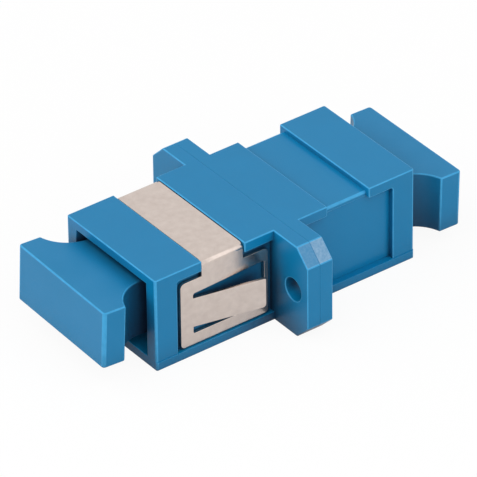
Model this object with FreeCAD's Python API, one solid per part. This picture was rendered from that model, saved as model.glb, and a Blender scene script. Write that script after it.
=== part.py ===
"""SC simplex fibre adapter with screw ears, a snap-in panel clip and a dust cap in each port.

Frame: millimetres, +X along the optical axis towards the rear port, +Z up, +Y across the body.
The origin is on the optical axis, in the weld plane between the two housing halves.
Both halves, both latch inserts and both caps are built facing +X; the front ones are turned round.
"""
import FreeCAD
import Part
import math
import os

from FreeCAD import Vector

# ---- housing body
body_length = 27.6
body_width = 12.6
body_height = 9.2
body_corner_radius = 0.2

# ---- collar at each mouth, and the groove behind it that carries the clip's strap
collar_length = 4.9
groove_width = 4.5
groove_depth = 0.5
groove_side_depth = 0.45
groove_edge_radius = 0.2

# ---- shallow pocket in each side wall, between a lip on top and the base rail
pocket_from_mouth = 2.3
pocket_depth = 0.55
pocket_corner_radius = 0.25
lip_height = 1.0
rail_height = 0.85
rail_proud = 0.06

# ---- flange ears
screw_pitch = 18.0
screw_hole_diameter = 2.2
ear_tip_from_hole = 2.0
ear_chamfer = 1.5
flange_thickness = 2.7

# ---- port
port_width = 9.1
port_height = 7.45
mouth_flare = 0.45
mouth_flare_length = 0.9
keyway_width = 2.7
keyway_length = 4.2

# ---- alignment sleeve and the ferrule it holds
ferrule_diameter = 2.5
sleeve_wall = 0.35
sleeve_length = 11.4
sleeve_slit = 0.5

# ---- latch insert: base plate, half of the sleeve holder, two hooks
insert_width = 10.6
insert_height = 8.0
insert_thickness = 1.2
holder_wall = 0.5
holder_end_wall = 0.75
holder_mouth_clearance = 0.2
hook_spacing = 6.7
hook_thickness = 0.75
hook_height = 3.2
hook_reach = 9.2
hook_lip = 0.35
hook_lip_length = 1.0
hook_lead_in = 0.45

# ---- panel clip, folded from one sheet
clip_sheet = 0.3
clip_plate_corner = 0.45
clip_bend_radius = 0.25
clip_upper_slot = 0.75
clip_upper_slot_taper = 0.28
clip_lower_slot = 0.68
clip_slot_corner = 0.2
clip_top_band = 1.15
clip_front_band = 1.3
clip_rear_band = 0.4
tongue_height = 2.92
tongue_end_gap = 0.7
tongue_angle = 12.0
tongue_top_radius = 0.12
tongue_foot_radius = 0.35

# ---- dust caps
cap_head_width = 12.8
cap_head_thickness = 2.2
cap_height = 5.5
cap_head_radius = 0.3
cap_standoff = 2.85
cap_neck_width = 7.8
cap_scallop_radius = 3.3
cap_socket_wall = 0.3
cap_socket_depth = 2.0
front_cap_pitch = 2.6
front_cap_yaw = 1.5
rear_cap_pitch = 1.6
rear_cap_yaw = 0.0

# ---- fits and clearances, each between two faces
insert_play = 0.05
sleeve_radial_play = 0.15
sleeve_end_play = 0.25
clip_mouth_gap = 0.45
clip_ear_gap = 0.5
clip_rail_gap = 0.08
clip_lip_gap = 0.62
clip_strap_gap = 0.1
clip_strap_mouth_gap = 0.08
clip_strap_ear_gap = 0.06
cap_socket_play = 0.1
cap_stop_gap = 0.25
cap_hook_gap = 0.4

# ---- places that follow from the sizes above
mouth_x = body_length / 2
top_z = body_height / 2
side_y = body_width / 2
collar_x = mouth_x - collar_length
zone_x = collar_x - groove_width
pocket_end_x = mouth_x - pocket_from_mouth
ear_x = flange_thickness / 2
ear_y = screw_pitch / 2 + ear_tip_from_hole
lip_z = top_z - lip_height
rail_z = rail_height - top_z
pocket_y = side_y - pocket_depth
groove_y = side_y - groove_side_depth
groove_z = top_z - groove_depth
sleeve_outer = ferrule_diameter / 2 + sleeve_wall
holder_inner = sleeve_outer + sleeve_radial_play
holder_outer = holder_inner + holder_wall
holder_bore_x = sleeve_length / 2 + sleeve_end_play
holder_x = holder_bore_x + holder_end_wall
cap_inner_x = mouth_x + cap_standoff
neck_x = hook_reach + cap_hook_gap
clip_inner_y = groove_y
clip_outer_y = clip_inner_y + clip_sheet
clip_strap_z = groove_z + clip_strap_gap
clip_mouth_x = pocket_end_x - clip_mouth_gap
clip_ear_x = ear_x + clip_ear_gap
clip_foot_z = rail_z + clip_rail_gap
clip_plate_top_z = lip_z - clip_lip_gap

# ---- how far a cutting solid runs past a face, and how near two places count as the same
cutter = 1.0
nearly_zero = 1e-6


def box(x0, x1, y0, y1, z0, z1):
    """A box between two corners."""
    return Part.makeBox(x1 - x0, y1 - y0, z1 - z0, Vector(x0, y0, z0))


def centred_box(x0, x1, width, z0, z1):
    """A box across the middle of the part."""
    return box(x0, x1, -width / 2, width / 2, z0, z1)


def rod(radius, x0, x1):
    """A cylinder on the optical axis."""
    return Part.makeCylinder(radius, x1 - x0, Vector(x0, 0, 0), Vector(1, 0, 0))


def prism(points, direction):
    """A closed outline of straight edges, pushed along a direction."""
    wire = Part.makePolygon([Vector(*point) for point in points + points[:1]])
    return Part.Face(wire).extrude(Vector(*direction))


def edges_along(shape, direction, keep):
    """Straight edges of a shape in one direction whose middle passes a test."""
    axis = Vector(*direction)
    found = []
    for edge in shape.Edges:
        run = edge.Vertexes[-1].Point - edge.Vertexes[0].Point
        if run.cross(axis).Length < nearly_zero and keep(edge.CenterOfMass):
            found.append(edge)
    return found


def mirrored_pair(shape):
    """A shape and its mirror image across the middle plane."""
    return [shape, shape.mirror(Vector(0, 0, 0), Vector(0, 1, 0))]


def turned_round(shape):
    """The same piece facing the other way along the optical axis."""
    turned = shape.copy()
    turned.rotate(Vector(0, 0, 0), Vector(0, 0, 1), 180)
    return turned


# ---------------------------------------------------------------- housing halves
def corner_rounded(block):
    """A block of one half with its upright edges at the mouth rounded."""
    return block.makeFillet(body_corner_radius, edges_along(block, (0, 0, 1), lambda c: c.x > 0))


def body_block():
    """Outer block of one half, and the base rail that stands a hair wider than its walls."""
    block = corner_rounded(centred_box(0, mouth_x, body_width, -top_z, top_z))
    rail = corner_rounded(centred_box(0, mouth_x, body_width + 2 * rail_proud, -top_z, rail_z))
    return block.fuse(rail)


def flange_plate():
    """Half of the flange's thickness, with chamfered ears."""
    flat_y = ear_y - ear_chamfer
    flat_z = top_z - ear_chamfer
    corner = [(flat_y, top_z), (ear_y, flat_z)]
    right = corner + [(y, -z) for y, z in reversed(corner)]
    left = [(-y, z) for y, z in reversed(right)]
    return prism([(0, y, z) for y, z in right + left], (ear_x, 0, 0))


def strap_groove():
    """Groove over the top and down through the lip on each side, round a core with soft edges."""
    groove = centred_box(zone_x, collar_x, body_width + 2 * cutter, lip_z, top_z + cutter)
    core = centred_box(zone_x, collar_x, 2 * groove_y, lip_z, groove_z)
    top_edges = edges_along(core, (1, 0, 0), lambda c: c.z > lip_z)
    return groove.cut(core.makeFillet(groove_edge_radius, top_edges))


def side_pockets():
    """Pocket in each side wall, from the flange to the mouth pillar, rounded under the lip."""
    pocket = box(ear_x, pocket_end_x, pocket_y, side_y + cutter, rail_z, lip_z)
    corner = edges_along(pocket, (0, 1, 0), lambda c: c.x > ear_x and c.z > 0)
    return mirrored_pair(pocket.makeFillet(pocket_corner_radius, corner))


def port_cavity():
    """Port, its flared mouth, the keyway under it and the seat of the latch insert."""
    half_width = port_width / 2
    half_height = port_height / 2
    port = centred_box(0, mouth_x + cutter, port_width, -half_height, half_height)
    flare_x = mouth_x - mouth_flare_length
    flare_y = half_width + mouth_flare
    flare = prism([(flare_x, half_width, -half_height), (mouth_x, flare_y, -half_height),
                   (mouth_x, -flare_y, -half_height), (flare_x, -half_width, -half_height)],
                  (0, 0, port_height))
    keyway = centred_box(mouth_x - keyway_length, mouth_x + cutter, keyway_width,
                         -top_z - cutter, -half_height)
    seat = centred_box(-cutter, insert_thickness + insert_play, insert_width + 2 * insert_play,
                       -insert_height / 2 - insert_play, insert_height / 2 + insert_play)
    return [port, flare, keyway, seat]


def screw_holes():
    """Hole through each ear."""
    hole = Part.makeCylinder(screw_hole_diameter / 2, ear_x + 2 * cutter,
                             Vector(-cutter, screw_pitch / 2, 0), Vector(1, 0, 0))
    return mirrored_pair(hole)


def housing_half():
    """One moulding; the adapter is two of them welded back to back."""
    solid = body_block().fuse(flange_plate())
    solid = solid.cut([strap_groove()] + side_pockets() + port_cavity() + screw_holes())
    return solid.removeSplitter()


# ---------------------------------------------------------------- latch inserts and sleeve
def latch_hook():
    """One flexing arm with its inward lip, on the +Y side."""
    inner = hook_spacing / 2
    outer = inner + hook_thickness
    lip_x = hook_reach - hook_lip_length
    outline = [(0, inner), (lip_x - hook_lip, inner), (lip_x, inner - hook_lip),
               (hook_reach - hook_lead_in, inner - hook_lip), (hook_reach, inner),
               (hook_reach, outer), (0, outer)]
    return prism([(x, y, -hook_height / 2) for x, y in outline], (0, 0, hook_height))


def latch_insert():
    """Base plate with half of the sleeve holder and two hooks, moulded in one."""
    plate = centred_box(0, insert_thickness, insert_width, -insert_height / 2, insert_height / 2)
    solid = plate.fuse([rod(holder_outer, 0, holder_x)] + mirrored_pair(latch_hook()))
    bore = rod(holder_inner, -cutter, holder_bore_x)
    ferrule_way = rod(ferrule_diameter / 2 + holder_mouth_clearance, 0, holder_x + cutter)
    return solid.cut([bore, ferrule_way]).removeSplitter()


def alignment_sleeve():
    """Split ceramic sleeve that lines the two ferrules up."""
    half = sleeve_length / 2
    tube = rod(sleeve_outer, -half, half).cut(rod(ferrule_diameter / 2, -half - cutter, half + cutter))
    slit = box(-half - cutter, half + cutter, -sleeve_slit / 2, sleeve_slit / 2, 0, sleeve_outer + cutter)
    return tube.cut(slit)


# ---------------------------------------------------------------- panel clip
def clip_tongue(root_x, free_x, z0):
    """Spring tongue on the +Y side, folded outwards along a line at its mouth end."""
    length = root_x - free_x - tongue_end_gap
    angle = math.radians(tongue_angle)
    end_x = root_x - length * math.cos(angle)
    end_y = clip_outer_y + length * math.sin(angle)
    back_x = end_x - clip_sheet * math.sin(angle)
    back_y = end_y - clip_sheet * math.cos(angle)
    outline = [(root_x + clip_sheet, clip_outer_y), (root_x, clip_outer_y), (end_x, end_y),
               (back_x, back_y), (root_x, clip_inner_y), (root_x + clip_sheet, clip_inner_y)]
    tongue = prism([(x, y, z0) for x, y in outline], (0, 0, tongue_height))
    tip = edges_along(tongue, (math.sin(angle), math.cos(angle), 0), lambda c: True)
    foot, top = sorted(tip, key=lambda edge: edge.CenterOfMass.z)
    return tongue.makeFillet(tongue_foot_radius, [foot]).makeFillet(tongue_top_radius, [top])


def clip_side():
    """Side plate on the +Y side, with the window that frees its tongue, and the tongue."""
    free_x = clip_ear_x + clip_rear_band
    root_x = clip_mouth_x - clip_front_band
    plate = box(clip_ear_x, clip_mouth_x, clip_inner_y, clip_outer_y, clip_foot_z, clip_plate_top_z)
    plate = plate.makeFillet(clip_plate_corner, edges_along(plate, (0, 1, 0), lambda c: True))
    window_top = clip_plate_top_z - clip_top_band
    tongue_z = window_top - clip_upper_slot - tongue_height
    window_foot = tongue_z - clip_lower_slot
    y = clip_inner_y - cutter
    window = prism([(free_x, y, window_top), (root_x, y, window_top - clip_upper_slot_taper),
                    (root_x, y, window_foot), (free_x, y, window_foot)], (0, clip_sheet + 2 * cutter, 0))
    window = window.makeFillet(clip_slot_corner, edges_along(window, (0, 1, 0), lambda c: True))
    return plate.cut(window), clip_tongue(root_x, free_x, tongue_z)


def clip_hoop():
    """Strap over the top with a rounded bend at each edge, down to the side plates."""
    x0 = zone_x + clip_strap_ear_gap
    x1 = collar_x - clip_strap_mouth_gap
    hoop = centred_box(x0, x1, 2 * clip_outer_y, -top_z, clip_strap_z + clip_sheet)
    hoop = hoop.makeFillet(clip_bend_radius + clip_sheet, edges_along(hoop, (1, 0, 0), lambda c: c.z > 0))
    void = centred_box(x0, x1, 2 * clip_inner_y, -top_z, clip_strap_z)
    void = void.makeFillet(clip_bend_radius, edges_along(void, (1, 0, 0), lambda c: c.z > 0))
    end_z = clip_plate_top_z - clip_top_band / 2
    below = centred_box(x0, x1, body_width + 2 * cutter, -top_z, end_z)
    return hoop.cut([void, below])


def panel_clip():
    """One folded sheet: the hoop, and a side plate with a tongue on each side."""
    plate, tongue = clip_side()
    pieces = mirrored_pair(plate) + mirrored_pair(tongue)
    return turned_round(clip_hoop().fuse(pieces).removeSplitter())


# ---------------------------------------------------------------- dust caps
def cap_shoulder():
    """Hollow shoulder on the +Y side, from the head's corner down to the neck."""
    head = cap_head_width / 2
    neck = cap_neck_width / 2
    centre_y = neck + cap_scallop_radius
    run = math.sqrt(cap_scallop_radius ** 2 - (centre_y - head) ** 2)
    arc_x = cap_inner_x - run
    middle_angle = (math.atan2(head - centre_y, run) - math.pi / 2) / 2
    middle = Vector(arc_x + cap_scallop_radius * math.cos(middle_angle),
                    centre_y + cap_scallop_radius * math.sin(middle_angle), 0)
    return Part.Arc(Vector(cap_inner_x, head, 0), middle, Vector(arc_x, neck, 0)).toShape()


def cap_bar():
    """Head and neck, one flat bar seen from the side and a T seen from above."""
    head = cap_head_width / 2
    head_x = cap_inner_x + cap_head_thickness
    shoulders = mirrored_pair(cap_shoulder())
    corners = [Vector(cap_inner_x, head, 0), Vector(head_x, head, 0), Vector(head_x, -head, 0),
               Vector(cap_inner_x, -head, 0)]
    sides = [Part.makeLine(a, b) for a, b in zip(corners, corners[1:])]
    foot = [Vector(neck_x, cap_neck_width / 2, 0), Vector(neck_x, -cap_neck_width / 2, 0)]
    sides.append(Part.makeLine(*foot))
    sides += [Part.makeLine(shoulder.Vertexes[-1].Point, end) for shoulder, end in zip(shoulders, foot)]
    wire = Part.Wire(Part.__sortEdges__(sides + shoulders))
    bar = Part.Face(wire).extrude(Vector(0, 0, cap_height))
    bar.translate(Vector(0, 0, -cap_height / 2))
    return bar.makeFillet(cap_head_radius, edges_along(bar, (0, 0, 1), lambda c: c.x > head_x - nearly_zero))


def dust_cap(pitch, yaw):
    """T-shaped cap whose socket slips over the end of the sleeve holder."""
    socket_inner = holder_outer + cap_socket_play
    socket_x = holder_x - cap_socket_depth
    solid = cap_bar().fuse(rod(socket_inner + cap_socket_wall, socket_x, neck_x + cap_socket_wall))
    solid = solid.cut(rod(socket_inner, socket_x - cutter, holder_x + cap_stop_gap)).removeSplitter()
    pivot = Vector(holder_x - cap_socket_depth / 2, 0, 0)
    solid.rotate(pivot, Vector(0, 1, 0), pitch)
    solid.rotate(pivot, Vector(0, 0, 1), yaw)
    return solid


def build():
    """Every piece of the adapter, by node name."""
    half = housing_half()
    insert = latch_insert()
    return {
        "front_housing": turned_round(half),
        "rear_housing": half,
        "front_latch_insert": turned_round(insert),
        "rear_latch_insert": insert,
        "alignment_sleeve": alignment_sleeve(),
        "panel_clip": panel_clip(),
        "front_dust_cap": turned_round(dust_cap(-front_cap_pitch, -front_cap_yaw)),
        "rear_dust_cap": dust_cap(rear_cap_pitch, rear_cap_yaw),
    }


os.makedirs("parts", exist_ok=True)
for name, shape in build().items():
    shape.exportStep(os.path.join("parts", name + ".step"))
    print(name, shape.ShapeType, len(shape.Solids), round(shape.Volume, 2), shape.isValid())
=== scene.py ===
"""Looks of the fibre adapter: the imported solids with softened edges, moulded plastic, rolled spring steel
and ceramic, on a plain white floor in even studio light. Lengths are metres unless a name ends in mm.
"""
import math

import bpy
from mathutils import Matrix, Vector


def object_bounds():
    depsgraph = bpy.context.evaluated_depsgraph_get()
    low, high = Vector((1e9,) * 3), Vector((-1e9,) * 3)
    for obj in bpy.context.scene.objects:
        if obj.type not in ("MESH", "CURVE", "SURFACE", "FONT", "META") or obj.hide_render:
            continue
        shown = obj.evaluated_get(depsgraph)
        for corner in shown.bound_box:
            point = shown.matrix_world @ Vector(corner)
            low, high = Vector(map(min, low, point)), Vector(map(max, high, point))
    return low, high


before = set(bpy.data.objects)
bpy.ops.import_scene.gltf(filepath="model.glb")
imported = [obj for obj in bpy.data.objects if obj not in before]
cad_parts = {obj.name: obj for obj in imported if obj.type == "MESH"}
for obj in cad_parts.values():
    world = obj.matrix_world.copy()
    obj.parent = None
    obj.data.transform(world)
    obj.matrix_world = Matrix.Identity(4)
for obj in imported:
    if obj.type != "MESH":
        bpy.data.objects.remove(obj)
cad_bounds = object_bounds()
MM = 0.001

# ---- how wide the sharp edges are rounded
plastic_edge = 0.09 * MM
cap_edge = 0.12 * MM
sheet_edge = 0.035 * MM
parting_edge = 0.03 * MM
step_edge = 0.025 * MM
edge_segments = 3
sharp_angle = math.radians(40)
flat_angle = math.radians(0.6)
same_point = 0.001 * MM
face_area_weight = 100

# ---- the step along the foot of each side: nearly sharp between the mouths, sharp beside them
step_start = 0.05 * MM
step_height = 0.85 * MM
body_side = 6.3 * MM
step_inside = 0.1 * MM
step_outside = 0.15 * MM
mouth_x = 13.8 * MM
mouth_margin = 0.35 * MM

# ---- distances from the weld plane, and the narrow rounded strips that get the painted edge highlight
on_weld = 0.01 * MM
off_weld = 0.1 * MM
narrow_face = 0.08 * MM
outward_turn = math.radians(5)

# ---- colours
blue = (0.002, 0.201, 0.427, 1)
deep_blue = (0.002, 0.193, 0.410, 1)
# painted highlight: the paler blue of rounded edges and of the pale lines beside them
painted_highlight_blue = (0.050, 0.360, 0.670, 1)
insert_blue = (0.005, 0.180, 0.390, 1)
deep_insert_blue = (0.004, 0.165, 0.360, 1)
cap_blue = (0.008, 0.205, 0.430, 1)
# painted shade: the dark navy that slots, corners and recesses are darkened towards
painted_shade_navy = (0.010, 0.024, 0.056, 1)
# painted highlight: pale tint of the ears' chamfers
chamfer_highlight_colour = (0.52, 0.63, 0.74, 1)
steel_colour = (0.585, 0.500, 0.455, 1)
pale_steel = (0.655, 0.570, 0.520, 1)
zirconia = (0.82, 0.82, 0.79, 1)
pale_zirconia = (0.88, 0.88, 0.86, 1)
white = (1, 1, 1, 1)
world_tint = (1.0, 0.99, 0.98, 1)
floor_seen = (0.96, 0.96, 0.96, 1)
floor_dull = (0.54, 0.54, 0.54, 1)
floor_pale = (0.56, 0.56, 0.56, 1)

# ---- noise: scale per mm, detail and sharpness of each pattern, and where most of its values lie
drift_noise = (0.35, 3.0)
speck_noise = (9.0,)
highlight_patch_noise = (1.6,)
mottle_noise = (5.0,)
grain_noise = (28.0, 2.0, 0.6)
cloud_noise = (1.5, 4.0, 0.6)
streak_noise = (3.0, 4.0, 0.6)
ring_noise = (2.0, 3.0)
floor_noise = (0.02,)
noise_span = (0.3, 0.7)
along_sheet = (7.0, 0.5, 0.5)
round_sleeve = (8.0, 0.4, 0.4)

# ---- surfaces: a plastic's roughness drifts by so much less and more
plastic_roughness = 0.34
cap_roughness = 0.38
smoother = 0.04
rougher = 0.05
steel_roughness = (0.17, 0.25)
ceramic_roughness = (0.2, 0.28)
plastic_ior = 1.5
plastic_specular = 0.3
plastic_grain = 0.10
steel_grain = 0.12
grain_depth = 0.004 * MM

# ---- painted shade in the plastic's recesses, where little light gets in: openness at which it is painted dark, and clear
look_samples = 6
slot_depth = 2.0 * MM
slot_dark = 0.12
slot_clear = 0.5
ledge_slot_clear = 0.4
corner_reach = 6.0 * MM
# the front half gets deeper painted shade than the rear
front_shade = (0.24, 0.66)
plain_shade = (0.18, 0.55)
cap_shade = (0.36, 0.82)
cap_spared = 0.7
facing_up = (0.3, 0.8)

# ---- painted highlight on the edges, and the faint painted pale line beside each of them
halo_reach = 0.13 * MM
halo_likeness = (0.99, 0.88)
halo_openness = (0.75, 0.95)
edge_halo = 0.55
off_parting_mm = (0.15, 0.25)
highlight_patches = (0.3, 0.6, 0.75, 1.0)
recess_highlight = 0.1

# ---- painted highlight, pale and mottled, on the chamfers at the ears' corners
front_chamfer_highlight = 0.17
rear_chamfer_highlight = 0.42
chamfer_highlight_mottle = (0.35, 0.65)
least_chamfer_highlight = 0.6
ear_side_mm = 8.5
chamfer_slope = (0.42, 0.5)

# ---- floor and world: shares of plain white that the camera and a mirroring surface see
floor_half = 0.6
floor_gap = 0.005 * MM
floor_roughness = 0.9
floor_plainly = 0.92
floor_mirrored = 0.35
world_strength = 0.38

# ---- lamps: name, direction from the object, distance, breadth, height, watts, shown in the steel
lamps = (
    ("key", (-0.12, -0.75, 0.65), 0.6, 0.8, 0.8, 2.7, False),
    ("strip", (0.49, -0.78, 0.38), 0.5, 0.18, 0.60, 0.19, True),
    ("back", (-0.75, 0.38, 0.54), 0.6, 0.9, 0.9, 3.4, False),
)

# ---- camera, round the middle of the weld plane
view_azimuth = -36.608
view_elevation = 34.539
view_roll = -0.674
view_distance = 539.82 * MM
view_right = 0.285 * MM
view_up = 0.189 * MM
lens_mm = 475.66
sensor_mm = 36.0


# ---------------------------------------------------------------- node helpers
class Nodes:
    """A small wrapper that makes shader or geometry nodes and joins them."""

    def __init__(self, tree):
        self.tree = tree

    def new(self, kind, inputs=None, **settings):
        """A node with its settings, each input given a value or joined to another node."""
        node = self.tree.nodes.new(kind)
        for name, value in settings.items():
            setattr(node, name, value)
        for name, value in (inputs or {}).items():
            self.put(node.inputs[name], value)
        return node

    def put(self, socket, value):
        """Gives a socket a value, or joins it to another node's output."""
        if isinstance(value, bpy.types.NodeSocket):
            self.tree.links.new(value, socket)
        else:
            socket.default_value = value

    def mix_colour(self, factor, first, second):
        """The first colour where the factor is 0, the second where it is 1."""
        node = self.new("ShaderNodeMix", data_type="RGBA")
        for index, value in ((0, factor), (6, first), (7, second)):
            self.put(node.inputs[index], value)
        return node.outputs[2]

    def ramp(self, value, low, high, out_low=0.0, out_high=1.0):
        """The value stretched from one span to another, and held at both ends."""
        node = self.new("ShaderNodeMapRange", {"Value": value, "From Min": low, "From Max": high,
                                               "To Min": out_low, "To Max": out_high})
        return node.outputs["Result"]

    def above(self, value, limit):
        """True where the value passes the limit."""
        node = self.new("FunctionNodeCompare", {0: value, 1: limit}, operation="GREATER_THAN")
        return node.outputs[0]

    def both(self, first, second):
        """True where both are true."""
        return self.new("FunctionNodeBooleanMath", {0: first, 1: second}, operation="AND").outputs[0]

    def either(self, choice, when_true, when_false):
        """One of two numbers."""
        node = self.new("GeometryNodeSwitch", {"Switch": choice, "True": when_true, "False": when_false},
                        input_type="FLOAT")
        return node.outputs[0]

    def math(self, operation, *values):
        """Plain arithmetic."""
        return self.new("ShaderNodeMath", dict(enumerate(values)), operation=operation).outputs[0]

    def product(self, first, *others):
        """All the values multiplied."""
        for value in others:
            first = self.math("MULTIPLY", first, value)
        return first

    def size_of(self, value):
        """The value without its sign."""
        return self.math("ABSOLUTE", value)

    def axes(self, vector):
        """A vector's x, y and z."""
        return self.new("ShaderNodeSeparateXYZ", {0: vector}).outputs

    def scaled(self, vector, factors):
        """The vector with each axis multiplied by its factor."""
        return self.new("ShaderNodeVectorMath", {0: vector, 1: factors}, operation="MULTIPLY").outputs[0]

    def normal(self):
        """The x, y and z of the surface's direction, in the object's frame."""
        return self.axes(self.new("ShaderNodeTexCoord").outputs["Normal"])

    def openness(self, reach):
        """1 where nothing stands within the reach, falling to 0 in a deep recess."""
        node = self.new("ShaderNodeAmbientOcclusion", {"Distance": reach}, samples=look_samples)
        return node.outputs["AO"]

    def seen(self, plainly, mirrored):
        """One share for a ray from the camera, another for one off a glossy surface or through glass."""
        rays = self.new("ShaderNodeLightPath").outputs
        other = self.math("MAXIMUM", rays["Is Glossy Ray"], rays["Is Transmission Ray"])
        return self.math("MAXIMUM", self.product(rays["Is Camera Ray"], plainly),
                         self.product(other, mirrored))

    def noise(self, place, scale, detail=2.0, roughness=0.5):
        """Soft random spots, from 0 to 1."""
        node = self.new("ShaderNodeTexNoise", {"Vector": place, "Scale": scale, "Detail": detail,
                                               "Roughness": roughness})
        return node.outputs["Fac"]

    def roughen(self, shader, height, strength):
        """Gives a shader a fine relief."""
        bump = self.new("ShaderNodeBump", {"Height": height, "Strength": strength, "Distance": grain_depth})
        self.put(shader.inputs["Normal"], bump.outputs["Normal"])


def new_material(name):
    """An empty node material, its helper, its shader and coordinates in millimetres."""
    material = bpy.data.materials.new(name)
    material.use_nodes = True
    nodes = Nodes(material.node_tree)
    shader = material.node_tree.nodes["Principled BSDF"]
    place = nodes.new("ShaderNodeTexCoord").outputs["Object"]
    return material, nodes, shader, nodes.scaled(place, (1 / MM,) * 3)


# ---------------------------------------------------------------- materials
def near_edge(nodes):
    """1 beside an edge, where the surface rounded over a short reach would lean away from the real one; the
    mask of the painted pale line.
    """
    rounded = nodes.new("ShaderNodeBevel", {"Radius": halo_reach}, samples=look_samples).outputs["Normal"]
    plain = nodes.new("ShaderNodeNewGeometry").outputs["Normal"]
    likeness = nodes.new("ShaderNodeVectorMath", {0: rounded, 1: plain}, operation="DOT_PRODUCT")
    return nodes.ramp(likeness.outputs["Value"], *halo_likeness)


def painted_edge_highlight(nodes, place, slots, corners, shade):
    """How far each edge gets a painted highlight: patchily, dimmer where the painted shade of recesses
    falls, and no pale line by the weld.
    """
    rim_highlight = nodes.new("ShaderNodeAttribute", attribute_name="rim").outputs["Fac"]
    off_parting = nodes.ramp(nodes.size_of(nodes.axes(place)[0]), *off_parting_mm)
    halo = nodes.product(near_edge(nodes), off_parting, nodes.ramp(slots, *halo_openness, 0.0, edge_halo))
    patchy = nodes.ramp(nodes.noise(place, *highlight_patch_noise), *highlight_patches)
    reached = nodes.ramp(corners, *shade, recess_highlight, 1.0)
    return nodes.product(nodes.math("MAXIMUM", rim_highlight, halo), patchy, reached)


def painted_chamfer_highlight(nodes, place, chamfer_glint):
    """How far the sloping faces at the ears' corners get a painted highlight, in small spots."""
    normal = nodes.normal()
    slope = nodes.ramp(nodes.size_of(nodes.product(normal[1], normal[2])), *chamfer_slope)
    at_ear = nodes.math("GREATER_THAN", nodes.size_of(nodes.axes(place)[1]), ear_side_mm)
    mottle = nodes.ramp(nodes.noise(place, *mottle_noise), *chamfer_highlight_mottle, least_chamfer_highlight * chamfer_glint, chamfer_glint)
    return nodes.product(slope, at_ear, mottle)


def light_share(nodes, slots, corners, shade, spared):
    """Painted shade: 1 on open surfaces and 0 deep in slots and corners; faces that look up are spared from
    the corners' painted shade.
    """
    upward = nodes.ramp(nodes.normal()[2], *facing_up)
    out_of_slots = nodes.ramp(slots, slot_dark, nodes.ramp(upward, 0, 1, slot_clear, ledge_slot_clear))
    out_of_corners = nodes.math("MAXIMUM", nodes.product(upward, spared), nodes.ramp(corners, *shade))
    return nodes.product(out_of_slots, out_of_corners)


def moulded_plastic(name, colour, deep, shade=plain_shade, roughness=plastic_roughness, chamfer_glint=0.0,
                    spared=1.0):
    """Satin moulded plastic: slight colour drift, fine spark-eroded grain, painted highlights on edges and
    chamfers, painted shade in recesses.
    """
    material, nodes, shader, place = new_material(name)
    drift = nodes.noise(place, *drift_noise)
    slots = nodes.openness(slot_depth)
    corners = nodes.openness(corner_reach)
    tone = nodes.mix_colour(nodes.ramp(drift, *noise_span), deep, colour)
    # painted highlight along the edges
    tone = nodes.mix_colour(painted_edge_highlight(nodes, place, slots, corners, shade), tone, painted_highlight_blue)
    # painted highlight on the ears' chamfers
    if chamfer_glint:
        tone = nodes.mix_colour(painted_chamfer_highlight(nodes, place, chamfer_glint), tone, chamfer_highlight_colour)
    # painted shade: darker towards navy the less open the surface is
    tone = nodes.mix_colour(light_share(nodes, slots, corners, shade, spared), painted_shade_navy, tone)
    nodes.put(shader.inputs["Base Color"], tone)
    speck = nodes.noise(place, *speck_noise)
    nodes.put(shader.inputs["Roughness"],
              nodes.ramp(speck, *noise_span, roughness - smoother, roughness + rougher))
    nodes.roughen(shader, nodes.noise(place, *grain_noise), plastic_grain)
    shader.inputs["IOR"].default_value = plastic_ior
    shader.inputs["Specular IOR Level"].default_value = plastic_specular
    return material


def spring_steel(name):
    """Rolled stainless strip: fine streaks along the sheet and soft clouds."""
    material, nodes, shader, place = new_material(name)
    streaks = nodes.noise(nodes.scaled(place, along_sheet), *streak_noise)
    clouds = nodes.noise(place, *cloud_noise)
    nodes.put(shader.inputs["Base Color"],
              nodes.mix_colour(nodes.ramp(clouds, *noise_span), steel_colour, pale_steel))
    nodes.put(shader.inputs["Roughness"], nodes.ramp(streaks, *noise_span, *steel_roughness))
    nodes.roughen(shader, streaks, steel_grain)
    shader.inputs["Metallic"].default_value = 1.0
    return material


def ground_ceramic(name):
    """White zirconia with faint grinding rings."""
    material, nodes, shader, place = new_material(name)
    rings = nodes.noise(nodes.scaled(place, round_sleeve), *ring_noise)
    nodes.put(shader.inputs["Base Color"],
              nodes.mix_colour(nodes.ramp(rings, *noise_span), zirconia, pale_zirconia))
    nodes.put(shader.inputs["Roughness"], nodes.ramp(rings, *noise_span, *ceramic_roughness))
    return material


# ---------------------------------------------------------------- softened edges
def geometry_group(name):
    """An empty geometry node group with its helper, its way in and its way out."""
    group = bpy.data.node_groups.new(name, "GeometryNodeTree")
    group.interface.new_socket("Geometry", in_out="INPUT", socket_type="NodeSocketGeometry")
    group.interface.new_socket("Geometry", in_out="OUTPUT", socket_type="NodeSocketGeometry")
    nodes = Nodes(group)
    return group, nodes, nodes.new("NodeGroupInput"), nodes.new("NodeGroupOutput")


def weld_group():
    """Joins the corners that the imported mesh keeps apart."""
    group, nodes, way_in, way_out = geometry_group("weld_corners")
    merged = nodes.new("GeometryNodeMergeByDistance",
                       {"Geometry": way_in.outputs[0], "Distance": same_point})
    nodes.put(way_out.inputs[0], merged.outputs[0])
    return group


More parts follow.
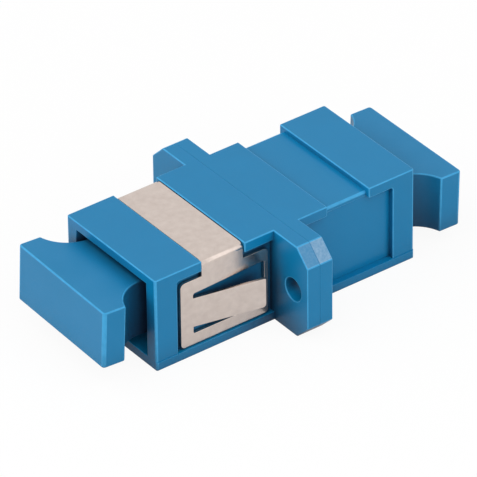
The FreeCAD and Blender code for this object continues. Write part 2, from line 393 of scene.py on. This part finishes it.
def weight_group():
    """Marks the sharp outer edges to be rounded, more lightly on the weld plane and the foot's step."""
    group, nodes, way_in, way_out = geometry_group("mark_sharp_edges")
    angle = nodes.new("GeometryNodeInputMeshEdgeAngle").outputs["Signed Angle"]
    place = nodes.axes(nodes.new("GeometryNodeInputPosition").outputs[0])
    along, aside, height = nodes.size_of(place[0]), nodes.size_of(place[1]), place[2]
    step_foot = cad_bounds[0][2] + step_start
    on_step = nodes.both(nodes.both(nodes.above(height, step_foot),
                                    nodes.above(step_foot + step_height, height)),
                         nodes.both(nodes.above(aside, body_side - step_inside),
                                    nodes.above(body_side + step_outside, aside)))
    before_mouth = nodes.above(mouth_x - mouth_margin, along)
    step_weight = nodes.either(before_mouth, step_edge / plastic_edge, 0.0)
    plain_weight = nodes.either(nodes.above(along, on_weld), 1.0, parting_edge / plastic_edge)
    weight = nodes.product(nodes.either(on_step, step_weight, plain_weight), nodes.above(angle, sharp_angle))
    stored = nodes.new("GeometryNodeStoreNamedAttribute",
                       {"Geometry": way_in.outputs[0], "Name": "bevel_weight_edge", "Value": weight},
                       data_type="FLOAT", domain="EDGE")
    nodes.put(way_out.inputs[0], stored.outputs[0])
    return group


def smooth_group():
    """Smooth faces, a crease wherever the surface still turns sharply, and a mark on narrow outer strips,
    which get a painted highlight.
    """
    group, nodes, way_in, way_out = geometry_group("shade_smooth")
    faces = nodes.new("GeometryNodeSetShadeSmooth", {"Geometry": way_in.outputs[0], "Shade Smooth": True},
                      domain="FACE")
    angles = nodes.new("GeometryNodeInputMeshEdgeAngle").outputs
    edges = nodes.new("GeometryNodeSetShadeSmooth",
                      {"Geometry": faces.outputs[0], "Shade Smooth": False,
                       "Selection": nodes.above(angles["Unsigned Angle"], sharp_angle)}, domain="EDGE")
    ends = nodes.new("GeometryNodeInputMeshEdgeVertices").outputs
    length = nodes.new("ShaderNodeVectorMath", {0: ends["Position 1"], 1: ends["Position 2"]},
                       operation="DISTANCE").outputs["Value"]
    turn = nodes.product(length, angles["Signed Angle"])
    mean_length = nodes.new("GeometryNodeFieldOnDomain", {"Value": length}, domain="EDGE").outputs[0]
    mean_turn = nodes.new("GeometryNodeFieldOnDomain", {"Value": turn}, domain="EDGE").outputs[0]
    count = nodes.new("GeometryNodeInputMeshFaceNeighbors").outputs["Vertex Count"]
    area = nodes.new("GeometryNodeInputMeshFaceArea").outputs[0]
    breadth = nodes.math("DIVIDE", area, nodes.product(mean_length, count))
    outward = nodes.above(nodes.math("DIVIDE", mean_turn, mean_length), outward_turn)
    along = nodes.size_of(nodes.axes(nodes.new("GeometryNodeInputPosition").outputs[0])[0])
    rim = nodes.both(nodes.both(nodes.above(narrow_face, breadth), outward), nodes.above(along, off_weld))
    marked = nodes.new("GeometryNodeStoreNamedAttribute",
                       {"Geometry": edges.outputs[0], "Name": "rim", "Value": rim},
                       data_type="FLOAT", domain="FACE")
    nodes.put(way_out.inputs[0], marked.outputs[0])
    return group


def soften(piece, width, groups):
    """Rounds the sharp edges of a CAD node with modifiers alone; its mesh stays as packed."""
    weld, weights, smooth = groups
    piece.modifiers.new("weld", "NODES").node_group = weld
    flat = piece.modifiers.new("join_flat_faces", "DECIMATE")
    flat.decimate_type = "DISSOLVE"
    flat.angle_limit = flat_angle
    piece.modifiers.new("weights", "NODES").node_group = weights
    bevel = piece.modifiers.new("round_edges", "BEVEL")
    bevel.limit_method = "WEIGHT"
    bevel.width = width
    bevel.segments = edge_segments
    bevel.use_clamp_overlap = False
    bevel.miter_outer = "MITER_SHARP"
    bevel.loop_slide = True
    piece.modifiers.new("smooth", "NODES").node_group = smooth
    normals = piece.modifiers.new("weighted_normals", "WEIGHTED_NORMAL")
    normals.keep_sharp = True
    normals.weight = face_area_weight


def dress_nodes():
    """Gives every CAD node its material and its rounded edges."""
    groups = (weld_group(), weight_group(), smooth_group())
    # one plastic in lit and shaded copies: the front half has deeper painted shade and a weaker painted
    # chamfer highlight than the rear
    front = moulded_plastic("front_blue", blue, deep_blue, front_shade, chamfer_glint=front_chamfer_highlight)
    rear = moulded_plastic("rear_blue", blue, deep_blue, chamfer_glint=rear_chamfer_highlight)
    insert = moulded_plastic("insert_blue", insert_blue, deep_insert_blue)
    cap = moulded_plastic("cap_blue", cap_blue, deep_blue, cap_shade, cap_roughness, spared=cap_spared)
    steel = spring_steel("clip_steel")
    ceramic = ground_ceramic("sleeve_ceramic")
    looks = {
        "front_housing": (front, plastic_edge), "rear_housing": (rear, plastic_edge),
        "front_latch_insert": (insert, plastic_edge), "rear_latch_insert": (insert, plastic_edge),
        "alignment_sleeve": (ceramic, sheet_edge), "panel_clip": (steel, sheet_edge),
        "front_dust_cap": (cap, cap_edge), "rear_dust_cap": (cap, cap_edge),
    }
    for name, (material, width) in looks.items():
        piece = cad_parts[name]
        for slot in piece.material_slots:
            slot.material = material
        soften(piece, width, groups)


# ---------------------------------------------------------------- stage
def white_floor():
    """Plain white floor that keeps a faint shadow under the object."""
    level = cad_bounds[0][2] - floor_gap
    corners = ((-1, -1), (1, -1), (1, 1), (-1, 1))
    mesh = bpy.data.meshes.new("floor")
    mesh.from_pydata([(x * floor_half, y * floor_half, level) for x, y in corners], [], [(0, 1, 2, 3)])
    floor = bpy.data.objects.new("floor", mesh)
    bpy.context.scene.collection.objects.link(floor)
    material, nodes, shader, place = new_material("floor_white")
    dull = nodes.mix_colour(nodes.noise(place, *floor_noise), floor_dull, floor_pale)
    nodes.put(shader.inputs["Base Color"], nodes.mix_colour(nodes.seen(1, 1), dull, floor_seen))
    shader.inputs["Roughness"].default_value = floor_roughness
    glow = nodes.new("ShaderNodeEmission", {"Color": white, "Strength": 1.0})
    blend = nodes.new("ShaderNodeMixShader", {0: nodes.seen(floor_plainly, floor_mirrored),
                                              1: shader.outputs[0], 2: glow.outputs[0]})
    nodes.put(material.node_tree.nodes["Material Output"].inputs["Surface"], blend.outputs[0])
    mesh.materials.append(material)


def studio_world():
    """Even light from all round, seen as plain white."""
    world = bpy.data.worlds.new("studio")
    bpy.context.scene.world = world
    world.use_nodes = True
    nodes = Nodes(world.node_tree)
    background = world.node_tree.nodes["Background"]
    background.inputs["Color"].default_value = world_tint
    background.inputs["Strength"].default_value = world_strength
    plain = nodes.new("ShaderNodeBackground", {"Color": white, "Strength": 1.0})
    blend = nodes.new("ShaderNodeMixShader", {0: nodes.seen(1, 1), 1: background.outputs[0],
                                              2: plain.outputs[0]})
    nodes.put(world.node_tree.nodes["World Output"].inputs["Surface"], blend.outputs[0])


def soft_box(name, towards, distance, breadth, height, watts, mirrored):
    """A rectangular area lamp that faces the object; only a mirrored one shows in the steel."""
    lamp = bpy.data.lights.new(name, "AREA")
    lamp.shape = "RECTANGLE"
    lamp.size = breadth
    lamp.size_y = height
    lamp.energy = watts
    light = bpy.data.objects.new(name, lamp)
    light.visible_glossy = mirrored
    bpy.context.scene.collection.objects.link(light)
    back = Vector(towards).normalized()
    up = back.cross(Vector((1, 0, 0))).normalized()
    turn = Matrix((up.cross(back), up, back)).transposed().to_4x4()
    light.matrix_world = Matrix.Translation(back * distance) @ turn


def photo_camera():
    """Long lens at the viewing angle, aimed beside the middle of the weld plane."""
    azimuth, elevation, roll = (math.radians(a) for a in (view_azimuth, view_elevation, view_roll))
    back = Vector((math.sin(azimuth) * math.cos(elevation), -math.cos(azimuth) * math.cos(elevation),
                   math.sin(elevation)))
    level = Vector((math.cos(azimuth), math.sin(azimuth), 0))
    upright = back.cross(level)
    right = level * math.cos(roll) + upright * math.sin(roll)
    up = upright * math.cos(roll) - level * math.sin(roll)
    data = bpy.data.cameras.new("camera")
    data.lens = lens_mm
    data.sensor_width = sensor_mm
    camera = bpy.data.objects.new("camera", data)
    bpy.context.scene.collection.objects.link(camera)
    turn = Matrix((right, up, back)).transposed().to_4x4()
    place = back * view_distance - right * view_right - up * view_up
    camera.matrix_world = Matrix.Translation(place) @ turn
    bpy.context.scene.camera = camera


dress_nodes()
white_floor()
studio_world()
for lamp in lamps:
    soft_box(*lamp)
photo_camera()
bpy.context.scene.view_settings.view_transform = "Standard"
